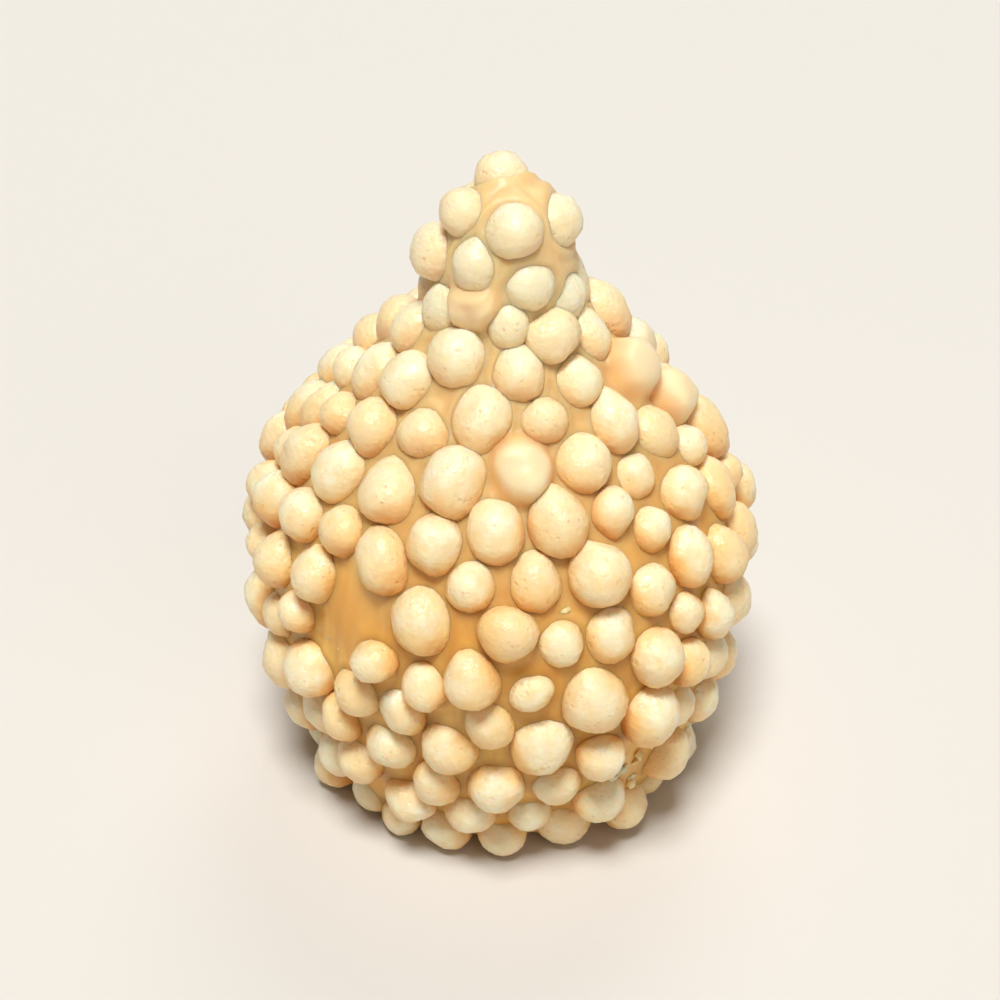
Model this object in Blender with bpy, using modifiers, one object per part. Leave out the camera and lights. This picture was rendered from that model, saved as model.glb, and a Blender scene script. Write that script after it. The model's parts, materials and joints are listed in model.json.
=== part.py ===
"""Cashew modak: a small onion-shaped sweet of smooth cashew paste, rolled in crunchy pearls.

The paste is pressed in a pleated mould, so it has a flat round base, a full belly, hollow shoulders and
a small knob on top. The pearls are half sunk in it, close together, and leave a few bare patches.

Everything is in metres, with +Z up and the middle of the base at the origin. The front faces -Y.
"""

import math

import bmesh
import bpy
import numpy as np
from mathutils import Matrix, Vector

MM = 0.001

# Driving sizes of the paste
PASTE_HEIGHT = 42.0 * MM
BASE_RADIUS = 11.0 * MM
BELLY_RADIUS = 14.8 * MM
BELLY_HEIGHT = 16.3 * MM
NECK_RADIUS = 3.35 * MM
NECK_HEIGHT = 35.6 * MM
SHOULDER_POWER = 0.67
KNOB_POWER = 2.4
BASE_ROUND = 1.3 * MM

# What the mould left: ribs that wander a little. Each wave is its size, waves around and start.
PLEATS = 11
PLEAT_DEPTH = 0.5 * MM
PLEAT_FADE = 0.7
PLEAT_MEAN = 0.6
PLEAT_WAVES = ((0.35, 1, 0.8), (0.22, 2, 2.1))

# What the hand left. Each wave is its size, waves around, waves upwards and start.
LUMP_DEPTH = 0.32 * MM
LUMP_FULLNESS = 1.4
LUMP_WAVES = ((1.0, 1, 0.5, 0.4), (0.7, 2, -0.8, 2.0), (0.5, 3, 1.3, 4.4))
TIP_LEAN = (0.9 * MM, 0.5 * MM)

# Short steps that measure the surface's slope, and the heights that its profile is read at
STEP_UP = 0.3 * MM
STEP_ROUND = 0.03
HEIGHTS = 400

# Pearls
PEARLS = 242
PEARL_RADIUS = 1.68 * MM
PEARL_SPREAD = 0.11
LARGEST_PEARL = 2.05 * MM
SMALLEST_PEARL = 1.3 * MM
KNOB_CROWD = 4.8
PEARL_LENGTH = 1.12
LENGTH_RANGE = 0.22
PEARL_TILT = 0.5
SUNK = (0.30, 0.58)
LOWEST_ROW = 1.9 * MM
LOWEST_PEARL = 0.1 * MM
GOLDEN_ANGLE = math.pi * (3 - math.sqrt(5))
SHAKE = 0.85 * MM
PUSHES = 60
PUSH_STEP = 0.3
CLOSEST = (1.12, 0.86)
SEED = 21

# Bare patches: direction in degrees from the front, height, half width, half height, how bare
BARE_PATCHES = (
    (-40, 19.0 * MM, 1.9 * MM, 4.0 * MM, 1.0),
    (37, 8.5 * MM, 1.9 * MM, 2.4 * MM, 1.0),
    (150, 22.0 * MM, 6.0 * MM, 8.6 * MM, 0.88),
    (-112, 14.0 * MM, 4.0 * MM, 6.5 * MM, 0.9),
)

# Mesh fineness
PASTE_STEPS = 30
PASTE_RINGS = 17
PEARL_SIDES = 6
PEARL_RINGS = 4
FACET_GROWTH = 1.06
MERGE = 0.1 * MM

PASTE_COLOR = (0.72, 0.44, 0.19, 1.0)
PEARL_COLOR = (0.90, 0.76, 0.52, 1.0)
PASTE_ROUGHNESS = 0.42
PEARL_ROUGHNESS = 0.38


def clear_scene():
    for ob in list(bpy.data.objects):
        bpy.data.objects.remove(ob, do_unlink=True)


def make_collection(name):
    collection = bpy.data.collections.new(name)
    bpy.context.scene.collection.children.link(collection)
    return collection


def make_material(name, color, roughness):
    material = bpy.data.materials.new(name)
    material.use_nodes = True
    shader = material.node_tree.nodes["Principled BSDF"]
    shader.inputs["Base Color"].default_value = color
    shader.inputs["Roughness"].default_value = roughness
    shader.inputs["Metallic"].default_value = 0.0
    material.diffuse_color = color
    return material


def dome_radius(height):
    """The paste's radius at a height: an elliptic belly, an S-shaped shoulder and a rounded knob."""
    drop = np.clip((BELLY_HEIGHT - height) / BELLY_HEIGHT, 0, 1)
    belly = BELLY_RADIUS * np.sqrt(1 - (1 - (BASE_RADIUS / BELLY_RADIUS) ** 2) * drop**2)
    rise = np.clip((height - BELLY_HEIGHT) / (NECK_HEIGHT - BELLY_HEIGHT), 0, 1)
    slope = (0.5 + 0.5 * np.cos(np.pi * rise)) ** SHOULDER_POWER
    shoulder = NECK_RADIUS + (BELLY_RADIUS - NECK_RADIUS) * slope
    rise = np.clip((height - NECK_HEIGHT) / (PASTE_HEIGHT - NECK_HEIGHT), 0, 1)
    knob = NECK_RADIUS * np.sqrt(1 - rise**KNOB_POWER)
    corner = np.clip(1 - height / BASE_ROUND, 0, 1)
    edge = BASE_ROUND * (1 - np.sqrt(1 - corner**2))
    return np.where(height > NECK_HEIGHT, knob, np.where(height > BELLY_HEIGHT, shoulder, belly - edge))


def pleat(angle, height):
    """The mould's rounded ribs, which fade towards the base and the knob."""
    fade = np.sin(np.pi * np.clip(height / NECK_HEIGHT, 0, 1)) ** PLEAT_FADE
    wander = sum(size * np.sin(around * angle + start) for size, around, start in PLEAT_WAVES)
    return PLEAT_DEPTH * fade * (np.abs(np.cos((PLEATS * angle + wander) / 2)) - PLEAT_MEAN)


def lump(angle, height):
    """Soft unevenness from handling, made of a few long waves."""
    turn = height / PASTE_HEIGHT * math.tau
    wave = 0 * angle
    for size, around, upwards, start in LUMP_WAVES:
        wave = wave + size * np.sin(around * angle + upwards * turn + start)
    return LUMP_DEPTH * np.clip(dome_radius(height) / BELLY_RADIUS * LUMP_FULLNESS, 0, 1) * wave


def surface(angle, height):
    """Points of the paste's side. Angle 0 is the front, and it grows towards +X."""
    bare = dome_radius(height)
    radius = np.where(bare > 0, bare + pleat(angle, height) + lump(angle, height), 0)
    lean = (height / PASTE_HEIGHT) ** 2
    x = radius * np.sin(angle) + TIP_LEAN[0] * lean
    y = -radius * np.cos(angle) + TIP_LEAN[1] * lean
    return np.stack([x, y, height + 0 * x], axis=-1)


def outward(angle, height):
    """The direction straight out of the paste there, from two short steps along the surface."""
    along = surface(angle, min(height + STEP_UP, PASTE_HEIGHT)) - surface(angle, max(height - STEP_UP, 0))
    around = surface(angle + STEP_ROUND, height) - surface(angle - STEP_ROUND, height)
    return Vector(np.cross(around, along)).normalized()


def bareness(angle, height):
    """The chance that a pearl is missing here."""
    share = 0 * angle
    for degrees, middle, half_width, half_height, bare in BARE_PATCHES:
        turn = (angle - math.radians(degrees) + np.pi) % math.tau - np.pi
        inside = (turn * dome_radius(height) / half_width) ** 2 + ((height - middle) / half_height) ** 2 < 1
        share = np.where(inside, bare, share)
    return share


def area_below():
    """Heights up the paste, and the share of its side that lies below each. The knob counts for more,
    because pearls crowd on it."""
    heights = np.linspace(0, PASTE_HEIGHT, HEIGHTS)
    radii = dome_radius(heights)
    slant = np.hypot(np.diff(heights), np.diff(radii)) * np.where(heights[1:] > NECK_HEIGHT, KNOB_CROWD, 1)
    area = np.concatenate(([0.0], np.cumsum(slant * (radii[1:] + radii[:-1]))))
    return heights, area / area[-1]


def settle(points):
    """The nearest places of the paste's side, as angles and heights, seen from the middle of the belly."""
    heights = np.linspace(0, PASTE_HEIGHT, HEIGHTS)
    steepness = np.arctan2(dome_radius(heights), heights - BELLY_HEIGHT)
    x, y, z = points.T
    lean = (z / PASTE_HEIGHT) ** 2
    x, y = x - TIP_LEAN[0] * lean, y - TIP_LEAN[1] * lean
    angle = np.arctan2(x, -y)
    radius = np.hypot(x, y) - pleat(angle, z) - lump(angle, z)
    height = np.interp(-np.arctan2(np.maximum(radius, 0), z - BELLY_HEIGHT), -steepness, heights)
    return angle, np.maximum(height, LOWEST_ROW)


def spread_pearls(draw):
    """Each pearl's angle, height and radius: a spiral that gives all of them the same area, shaken and
    then pushed apart until hardly any overlap. Those that fall on a bare patch are dropped."""
    radius = PEARL_RADIUS * (1 + PEARL_SPREAD * draw.standard_normal(PEARLS))
    radius = np.clip(radius, SMALLEST_PEARL, LARGEST_PEARL)
    heights, shares = area_below()
    turn = np.arange(PEARLS) * GOLDEN_ANGLE
    rise = (np.arange(PEARLS) + 0.5) / PEARLS
    spots = surface(turn, np.interp(rise, shares, heights)) + draw.normal(0, SHAKE, (PEARLS, 3))
    angle, height = settle(spots)
    for _ in range(PUSHES):
        spots = surface(angle, height)
        apart = (spots[:, None] - spots[None]) * (1, 1, 1 / PEARL_LENGTH)
        distance = np.linalg.norm(apart, axis=2) + np.eye(PEARLS)
        room = radius * np.where(height > NECK_HEIGHT - PEARL_RADIUS, CLOSEST[1], CLOSEST[0])
        overlap = np.clip(room[:, None] + room[None] - distance, 0, None)
        push = (apart * (overlap / distance)[:, :, None]).sum(axis=1)
        angle, height = settle(spots + PUSH_STEP * push)
    kept = draw.uniform(0, 1, PEARLS) >= bareness(angle, height)
    return angle[kept], height[kept], radius[kept]


def sink_pearls():
    """The pearls pushed into the paste, each as a matrix that places, turns and sizes a unit sphere."""
    draw = np.random.RandomState(SEED)
    matrices = []
    for angle, height, radius in zip(*spread_pearls(draw)):
        out = outward(angle, height)
        centre = Vector(surface(angle, height)) + out * radius * (1 - 2 * draw.uniform(*SUNK))
        length = PEARL_LENGTH + draw.uniform(-LENGTH_RANGE, LENGTH_RANGE)
        centre.z = max(centre.z, length * radius + LOWEST_PEARL)
        lean = draw.uniform(-PEARL_TILT, PEARL_TILT)
        up = (Vector((0, 0, 1)) - out * out.z).normalized()
        along = up * math.cos(lean) + out.cross(up) * math.sin(lean)
        turn = Matrix((along, out.cross(along), out)).transposed().to_4x4()
        size = Matrix.Diagonal((length * radius, radius, radius, 1))
        matrices.append(Matrix.Translation(centre) @ turn @ size)
    return matrices


def apply_modifiers(ob):
    """The evaluated mesh becomes the object's own."""
    graph = bpy.context.evaluated_depsgraph_get()
    mesh = bpy.data.meshes.new_from_object(ob.evaluated_get(graph))
    old = ob.data
    ob.modifiers.clear()
    ob.data = mesh
    bpy.data.meshes.remove(old)
    mesh.name = ob.name


def make_paste(collection, material):
    """A turned profile, then pleated and made uneven."""
    ob = bpy.data.objects.new("modak", bpy.data.meshes.new("profile"))
    collection.objects.link(ob)
    heights = PASTE_HEIGHT * (0.5 + 0.5 * np.cos(np.linspace(0, np.pi, PASTE_RINGS)))
    shape = bmesh.new()
    ring = [shape.verts.new((dome_radius(height), 0, height)) for height in heights]
    ring.append(shape.verts.new((0, 0, 0)))
    for upper, lower in zip(ring, ring[1:]):
        shape.edges.new((upper, lower))
    shape.to_mesh(ob.data)
    shape.free()
    turned = ob.modifiers.new("Turned", "SCREW")
    turned.steps = turned.render_steps = PASTE_STEPS
    turned.use_merge_vertices = True
    turned.merge_threshold = MERGE
    apply_modifiers(ob)
    for vertex in ob.data.vertices:
        x, y, z = vertex.co
        if z > 0 or math.hypot(x, y) > MERGE:
            vertex.co = surface(math.atan2(x, -y), z)
    ob.data.materials.append(material)
    return ob


def make_pearls(collection, material):
    """One low sphere, shared by all the pearls."""
    mesh = bpy.data.meshes.new("pearl")
    shape = bmesh.new()
    bmesh.ops.create_uvsphere(shape, u_segments=PEARL_SIDES, v_segments=PEARL_RINGS, radius=FACET_GROWTH)
    shape.to_mesh(mesh)
    shape.free()
    mesh.materials.append(material)
    for number, matrix in enumerate(sink_pearls()):
        ob = bpy.data.objects.new(f"pearl_{number:03d}", mesh)
        ob.matrix_world = matrix
        ob.hide_render = True
        ob.display_type = "WIRE"
        collection.objects.link(ob)


def fuse(ob, collection):
    """One union of the paste with every pearl."""
    union = ob.modifiers.new("Pearls", "BOOLEAN")
    union.operation = "UNION"
    union.operand_type = "COLLECTION"
    union.collection = collection
    union.material_mode = "TRANSFER"
    apply_modifiers(ob)
    for pearl in list(collection.objects):
        bpy.data.objects.remove(pearl, do_unlink=True)
    bpy.data.collections.remove(collection)


def keep_outer_skin(ob):
    """Drops the small closed skins inside, so that no hollow stays sealed between touching pearls."""
    shape = bmesh.new()
    shape.from_mesh(ob.data)
    left = set(shape.verts)
    skins = []
    while left:
        skin, edge = set(), {left.pop()}
        while edge:
            skin |= edge
            edge = {link.other_vert(vert) for vert in edge for link in vert.link_edges} - skin
        left -= skin
        skins.append(skin)
    outer = max(skins, key=len)
    bmesh.ops.delete(shape, geom=[vert for vert in shape.verts if vert not in outer], context="VERTS")
    shape.to_mesh(ob.data)
    shape.free()


def centre_on_base(ob):
    """The middle of the whole, seen from above, goes over the origin."""
    corners = np.array([vertex.co for vertex in ob.data.vertices])
    middle = (corners.min(axis=0) + corners.max(axis=0)) / 2
    ob.data.transform(Matrix.Translation((-middle[0], -middle[1], 0)))


def main():
    clear_scene()
    parts = make_collection("cashew_modak")
    cutters = make_collection("cutters")
    paste = make_material("cashew_paste", PASTE_COLOR, PASTE_ROUGHNESS)
    pearl = make_material("pearl", PEARL_COLOR, PEARL_ROUGHNESS)
    modak = make_paste(parts, paste)
    make_pearls(cutters, pearl)
    fuse(modak, cutters)
    keep_outer_skin(modak)
    centre_on_base(modak)


main()
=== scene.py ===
"""Looks of a cashew modak: smooth tan paste, closely studded with cream pearls, on a plain stage.

The paste and the pearls stand for the frame's node "modak" and follow the same rules as its solid:
a pleated dome with a knob, and pearls that are spread by equal area, pushed apart and half sunk.
Lengths are in metres. The front faces -Y, and angles grow from there towards +X.
"""

import json
import math

import bmesh
import bpy
import numpy as np
from mathutils import Matrix, Vector

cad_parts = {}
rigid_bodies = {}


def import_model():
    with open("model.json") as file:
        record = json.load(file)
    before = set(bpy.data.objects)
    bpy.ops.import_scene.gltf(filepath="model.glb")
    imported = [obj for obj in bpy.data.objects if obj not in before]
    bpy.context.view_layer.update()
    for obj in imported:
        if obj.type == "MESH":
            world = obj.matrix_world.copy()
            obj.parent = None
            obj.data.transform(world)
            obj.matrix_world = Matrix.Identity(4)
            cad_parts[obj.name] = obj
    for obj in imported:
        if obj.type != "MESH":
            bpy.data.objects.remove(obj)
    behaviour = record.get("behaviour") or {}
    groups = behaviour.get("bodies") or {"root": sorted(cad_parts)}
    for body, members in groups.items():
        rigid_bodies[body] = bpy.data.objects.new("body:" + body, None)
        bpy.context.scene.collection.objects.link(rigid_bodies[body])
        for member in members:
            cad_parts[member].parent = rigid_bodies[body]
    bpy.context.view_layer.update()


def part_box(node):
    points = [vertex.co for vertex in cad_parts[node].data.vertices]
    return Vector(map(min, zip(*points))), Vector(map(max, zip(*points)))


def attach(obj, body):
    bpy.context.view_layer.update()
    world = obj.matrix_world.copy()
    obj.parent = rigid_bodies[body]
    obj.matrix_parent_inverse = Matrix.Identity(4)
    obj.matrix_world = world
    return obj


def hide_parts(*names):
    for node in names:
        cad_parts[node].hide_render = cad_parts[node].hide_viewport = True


bl_info = {
    "name": "Cashew Modak",
    "version": (1, 0, 0),
    "blender": (4, 5, 0),
    "location": "3D View > Sidebar > Modak",
    "description": "Makes the paste, pearls, crumbs and stage of a cashew modak",
    "category": "Object",
}

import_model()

MM = 0.001
NODE = "modak"
BODY = "root"
DIGITS = 7  # decimals kept of a property's value
VECTOR = "FLOAT_VECTOR"  # the kind of a value with three parts

# Each wave by which the pleats wander: size, number round the body, start. Each wave of the lumps:
# size, number round the body, number up it, start
PLEAT_FADE = 0.7
PLEAT_MEAN = 0.6
PLEAT_WAVES = ((0.35, 1, 0.8), (0.22, 2, 2.1))
LUMP_FULLNESS = 1.4
LUMP_WAVES = ((1.0, 1, 0.5, 0.4), (0.7, 2, -0.8, 2.0), (0.5, 3, 1.3, 4.4))

# Fine upright streaks: their numbers round the body, how they bend, and how they fade and come back
STREAKS = (13, 19, 29, 37, 53)
STREAK_SEED = 5
STREAK_BEND = (0.3, 1.1)
STREAK_BEND_TURNS = (0.3, 0.9)
STREAK_FADE_SIZE = 0.4
STREAK_FADE_MEAN = 0.6
STREAK_FADE_ROUND = 2.0
STREAK_FADE_TURNS = (0.4, 1.2)

# A random start or direction, in radians: close to a whole turn
ANY_TURN = (0, 6)

# The rules that place the pearls
STEP_UP = 0.3 * MM  # half steps along the surface, for the way out of it
STEP_ROUND = 0.03
HEIGHTS = 400  # samples up the paste
KNOB_CROWD = 4.8  # how many times the knob's area counts
SUNK = (0.30, 0.58)  # share of the width that lies in the paste
LOWEST_ROW = 1.9 * MM
LOWEST_PEARL = 0.1 * MM
GOLDEN_ANGLE = math.pi * (3 - math.sqrt(5))
SHAKE = 0.85 * MM
PUSHES = 60
PUSH_STEP = 0.3  # how far one push moves each pearl, over the overlap
CLOSEST = (1.12, 0.86)  # room in radii, below the knob and on it
LENGTH_RANGE = 0.22
PEARL_TILT = 0.5  # radians from upright, at most

# Bare patches: direction in degrees from the front, height, half width, half height, how bare
BARE_PATCHES = (
    (-40, 19.0 * MM, 1.9 * MM, 4.0 * MM, 1.0),
    (37, 8.5 * MM, 1.9 * MM, 2.4 * MM, 1.0),
    (150, 22.0 * MM, 6.0 * MM, 8.6 * MM, 0.88),
    (-112, 14.0 * MM, 4.0 * MM, 6.5 * MM, 0.9),
)

# Streaks start above the base and fade where the paste is slim. The paste climbs up the pearls from
# just above the base, and more so from halfway up to the knob
STREAK_START = 4.0 * MM
STREAK_SLIM = 1.5
CLIMB_START = 1.0 * MM
KNOB_CLIMB = 1.2
KNOB_FROM = 0.5
KNOB_FULL = 0.9

# Mesh fineness
PASTE_STEPS = 400
PASTE_RINGS = 209
BASE_RINGS = 9
PROFILE_STEPS = 4000
PEARL_SIDES = 20
PEARL_RINGS = 12

# Kinds of pearls with the share of each, and the share that is turned half round, thin end down
SHAPES = ("round", "egg", "drop", "barrel", "dented", "knobbly")
SHAPE_SHARES = (0.17, 0.25, 0.14, 0.14, 0.15, 0.15)
UPSIDE_DOWN = 0.3

# How each kind differs from a ball of radius 1. A taper is how much slimmer the thin end gets
EGG_TAPER = 0.16
DROP_TAPER = (0.34, 0.30)  # sideways, outwards
DROP_TIP = 0.08
BARREL_LENGTH = 0.93
BARREL_POWER = 0.78  # below 1 the ends are blunt
BARREL_WIDTH = (0.97, 0.05)  # at the ends, and what the middle has more
HOLLOW_PLACE = (0.35, 0.4, 0.85)
HOLLOW_DEPTH = 0.14
HOLLOW_SPREAD = 0.16
KNOBBLE_DEPTH = 0.035

# Painted light makes a pearl paler towards its upper end and its outside. Each also has fine dents
# of its own
PEARL_TREE = "Pearls on points"
PAINTED_LIGHT_WAY = (0.4, 0.0, 0.6)
DENT_SCALE = 420.0
DENT_DETAIL = 3.0
DENT_ROUGHNESS = 0.65
LOOKS_SEED = 100  # added to the pearls' seed

# Share of the pearls that lie under a film of paste: at the belly, the neck and the tip
COVERED = (0.05, 0.28, 0.12)
LOWEST_COVERED = 27.0 * MM
COVERED_NAME = "covered_pearls"
HIGHEST_PEARL = 3.2 * MM
FILM_BLUR = 3

# The shortest way over which the paste climbs, and the smoothing of where it does
SHORTEST_REACH = 0.05 * MM
TOUCH_BLUR = 2

# Smoothing of the way out of the paste, and how close points are that get merged
WAY_ROUNDS = 90
WAY_STEP = 0.25
SEAM = 0.0005 * MM

# Crumbs everywhere in the gaps: tries, number, heights as shares of the side, free room, size
CRUMB_TRIES = 1400
CRUMBS = 110
CRUMB_LEVELS = (0.05, 0.9)
CRUMB_ROOM = 0.1 * MM
CRUMB_SIZE = (0.10 * MM, 0.26 * MM)

# Heaps of shards: direction in degrees from the front, height
SHARD_HEAPS = (
    (-76, 13.0 * MM), (-66, 24.0 * MM), (37, 8.0 * MM), (12, 24.5 * MM), (78, 17.0 * MM),
    (118, 20.0 * MM), (150, 24.0 * MM), (-160, 15.0 * MM), (-112, 12.5 * MM))
HEAP_TRIES = 60
HEAP_WIDTH = 1.7 * MM
SHARDS = 14
SHARD_ROOM = 0.3 * MM
SHARD_SIZE = (0.28 * MM, 0.62 * MM)

# The form of crumbs and shards: corners and their distance from the middle, width and thickness
# over length, how far each stands out over its length, how far it tips in radians, and its painted
# light at the middle and upwards, so that it is lighter towards its top
CRUMB_SEED = 200  # added to the pearls' seed
CRUMB_SHAPES = 6
CRUMB_CORNERS = 12
CRUMB_REACH = (0.7, 1.1)
CRUMB_WIDTH = (0.6, 1.0)
CRUMB_THICKNESS = (0.4, 0.8)
CRUMB_LIFT = (0.1, 0.6)
CRUMB_TIP = 0.7
CRUMB_PAINTED_LIGHT = (0.3, 0.3)

# Heights over which painted light makes the paste and the pearls paler towards the knob
PASTE_PAINTED_LIGHT = (18 * MM, 38 * MM)
PEARLS_PAINTED_LIGHT = (22 * MM, 38 * MM)

# The stage. Each light: name, strength, then width, azimuth and elevation in degrees, and colour.
# How far away the lights are set changes nothing in what they light
FLOOR_HALF = 3
SKY_COLOR = (1.0, 0.94, 0.84)
SKY_STRENGTH = 0.13
LIGHTS = (
    ("key", 3.2, 18, -10, 73, (1.0, 0.99, 0.96)),
    ("fill", 0.34, 40, 34, 38, (1.0, 0.92, 0.80)),
    ("back", 0.6, 30, 165, 50, (1.0, 0.96, 0.90)),
)
LIGHT_DISTANCE = 0.3
TARGET_HEIGHT = 19.5 * MM
CAMERA_LENS = 88
CAMERA_ELEVATION = 39
CAMERA_DISTANCE = 0.156
CAMERA_CLIP = (0.005, 20)


class ModakBody(bpy.types.PropertyGroup):
    """Sizes of the paste."""

    height: bpy.props.FloatProperty(
        name="Height", description="Of the paste, base to knob", default=42.0 * MM, unit="LENGTH")
    base_radius: bpy.props.FloatProperty(
        name="Base radius", description="Of the flat base", default=11.0 * MM, unit="LENGTH")
    belly_radius: bpy.props.FloatProperty(
        name="Belly radius", description="At the widest height", default=14.8 * MM, unit="LENGTH")
    belly_height: bpy.props.FloatProperty(
        name="Belly height", description="Where the paste is widest", default=16.3 * MM,
        unit="LENGTH")
    neck_radius: bpy.props.FloatProperty(
        name="Neck radius", description="Under the knob", default=3.35 * MM, unit="LENGTH")
    neck_height: bpy.props.FloatProperty(
        name="Neck height", description="Where the knob starts", default=35.6 * MM, unit="LENGTH")
    shoulder_power: bpy.props.FloatProperty(
        name="Shoulder fullness", description="Lower is fuller", default=0.67)
    knob_power: bpy.props.FloatProperty(
        name="Knob bluntness", description="Higher is blunter", default=2.4)
    base_round: bpy.props.FloatProperty(
        name="Base edge", description="Rounding of the lower edge", default=1.3 * MM, unit="LENGTH")
    pleats: bpy.props.IntProperty(
        name="Pleats", description="Ribs that the mould leaves", default=11)
    pleat_depth: bpy.props.FloatProperty(
        name="Pleat depth", description="Between the ribs", default=0.5 * MM, unit="LENGTH")
    lump_depth: bpy.props.FloatProperty(
        name="Lump depth", description="Of the unevenness from handling", default=0.32 * MM,
        unit="LENGTH")
    lean_x: bpy.props.FloatProperty(
        name="Lean across", description="How far the knob leans to +X", default=0.9 * MM,
        unit="LENGTH")
    lean_y: bpy.props.FloatProperty(
        name="Lean back", description="How far the knob leans to +Y", default=0.5 * MM,
        unit="LENGTH")
    streak_depth: bpy.props.FloatProperty(
        name="Streak depth", description="Of the fine upright streaks", default=0.045 * MM,
        unit="LENGTH")
    climb: bpy.props.FloatProperty(
        name="Climb", description="How far the paste climbs up a pearl", default=0.46 * MM,
        unit="LENGTH")
    climb_reach: bpy.props.FloatProperty(
        name="Climb reach", description="How far from a pearl it starts", default=0.42 * MM,
        unit="LENGTH")
    film: bpy.props.FloatProperty(
        name="Film", description="Thickness of the paste on a covered pearl", default=0.06 * MM,
        unit="LENGTH")


class ModakPearls(bpy.types.PropertyGroup):
    """Number and sizes of the pearls."""

    count: bpy.props.IntProperty(
        name="Pearls", description="Before those on bare patches are left out", default=242)
    radius: bpy.props.FloatProperty(
        name="Radius", description="Mean radius", default=1.68 * MM, unit="LENGTH")
    spread: bpy.props.FloatProperty(
        name="Size spread", description="Share of the radius, one standard deviation", default=0.11)
    largest: bpy.props.FloatProperty(
        name="Largest", description="Radius of the largest", default=2.05 * MM, unit="LENGTH")
    smallest: bpy.props.FloatProperty(
        name="Smallest", description="Radius of the smallest", default=1.3 * MM, unit="LENGTH")
    length: bpy.props.FloatProperty(
        name="Length", description="Length over width", default=1.12)
    seed: bpy.props.IntProperty(
        name="Seed", description="Of the whole layout", default=21)
    dent: bpy.props.FloatProperty(
        name="Dents", description="Depth of each pearl's own unevenness", default=0.40 * MM,
        unit="LENGTH")


class ModakColors(bpy.types.PropertyGroup):
    """Colours of the finishes."""

    paste_light: bpy.props.FloatVectorProperty(
        name="Paste, light", description="Where the paste is smooth and thick", subtype="COLOR",
        default=(0.92, 0.60, 0.19))
    paste_deep: bpy.props.FloatVectorProperty(
        name="Paste, deep", description="In streaks and oily places", subtype="COLOR",
        default=(0.76, 0.36, 0.055))
    # Painted shade: the paste is darkened towards this colour in the gaps next to each pearl
    paste_gap_shade: bpy.props.FloatVectorProperty(
        name="Paste, at the pearls", description="Where it touches a pearl", subtype="COLOR",
        default=(0.50, 0.17, 0.02))
    # The film colour is painted light: the paste is blended towards it, paler towards the knob
    film: bpy.props.FloatVectorProperty(
        name="Film", description="Thin paste near the knob and over a pearl", subtype="COLOR",
        default=(0.98, 0.70, 0.37))
    # The pearls' light and dark colours carry painted light as well as their own tone: each pearl
    # is painted from the light one at its upper end to the dark one below
    pearl_light: bpy.props.FloatVectorProperty(
        name="Pearl, light", description="The palest pearls", subtype="COLOR",
        default=(0.98, 0.87, 0.64))
    pearl_dark: bpy.props.FloatVectorProperty(
        name="Pearl, dark", description="The most toasted pearls", subtype="COLOR",
        default=(0.93, 0.62, 0.26))
    # The foot colour is partly a stain by the paste and partly painted shade on each pearl's lower,
    # inner side; the pits take it too
    pearl_foot_stain_and_shade: bpy.props.FloatVectorProperty(
        name="Pearl, foot", description="Stained by the paste", subtype="COLOR",
        default=(0.74, 0.32, 0.06))
    floor: bpy.props.FloatVectorProperty(
        name="Floor", description="Plain and pale", subtype="COLOR",
        default=(0.68, 0.66, 0.63))


def exact(group):
    """The numbers of a property group, without the noise of single precision."""
    values = {key: getattr(group, key) for key in group.bl_rna.properties.keys()}
    return {
        key: round(value, DIGITS) for key, value in values.items()
        if isinstance(value, (int, float))}


# The paste's surface


def dome_radius(body, height):
    """The paste's radius at a height: elliptic belly, S-shaped shoulder and rounded knob."""
    belly_height, belly_radius = body["belly_height"], body["belly_radius"]
    neck_height, neck_radius = body["neck_height"], body["neck_radius"]
    drop = np.clip((belly_height - height) / belly_height, 0, 1)
    belly = belly_radius * np.sqrt(1 - (1 - (body["base_radius"] / belly_radius) ** 2) * drop**2)
    rise = np.clip((height - belly_height) / (neck_height - belly_height), 0, 1)
    slope = (0.5 + 0.5 * np.cos(np.pi * rise)) ** body["shoulder_power"]
    shoulder = neck_radius + (belly_radius - neck_radius) * slope
    rise = np.clip((height - neck_height) / (body["height"] - neck_height), 0, 1)
    knob = neck_radius * np.sqrt(1 - rise ** body["knob_power"])
    corner = np.clip(1 - height / body["base_round"], 0, 1)
    edge = body["base_round"] * (1 - np.sqrt(1 - corner**2))
    lower = np.where(height > belly_height, shoulder, belly - edge)
    return np.where(height > neck_height, knob, lower)


def pleat_share(body, height):
    """How strongly the pleats show at a height."""
    return np.sin(np.pi * np.clip(height / body["neck_height"], 0, 1)) ** PLEAT_FADE


def lump_share(body, height):
    """How strongly the lumps show at a height."""
    return np.clip(dome_radius(body, height) / body["belly_radius"] * LUMP_FULLNESS, 0, 1)


def pleat(body, angle, height):
    """The mould's rounded ribs, which fade towards the base and the knob."""
    wander = sum(size * np.sin(around * angle + start) for size, around, start in PLEAT_WAVES)
    rib = np.abs(np.cos((body["pleats"] * angle + wander) / 2)) - PLEAT_MEAN
    return body["pleat_depth"] * pleat_share(body, height) * rib


def lump(body, angle, height):
    """Soft unevenness from handling, made of a few long waves."""
    turn = height / body["height"] * math.tau
    wave = 0 * angle
    for size, around, upwards, start in LUMP_WAVES:
        wave = wave + size * np.sin(around * angle + upwards * turn + start)
    return body["lump_depth"] * lump_share(body, height) * wave


def surface(body, angle, height):
    """Points of the paste's side."""
    bare = dome_radius(body, height)
    radius = np.where(bare > 0, bare + pleat(body, angle, height) + lump(body, angle, height), 0)
    lean = (height / body["height"]) ** 2
    x = radius * np.sin(angle) + body["lean_x"] * lean
    y = -radius * np.cos(angle) + body["lean_y"] * lean
    return np.stack([x, y, height + 0 * x], axis=-1)


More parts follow.
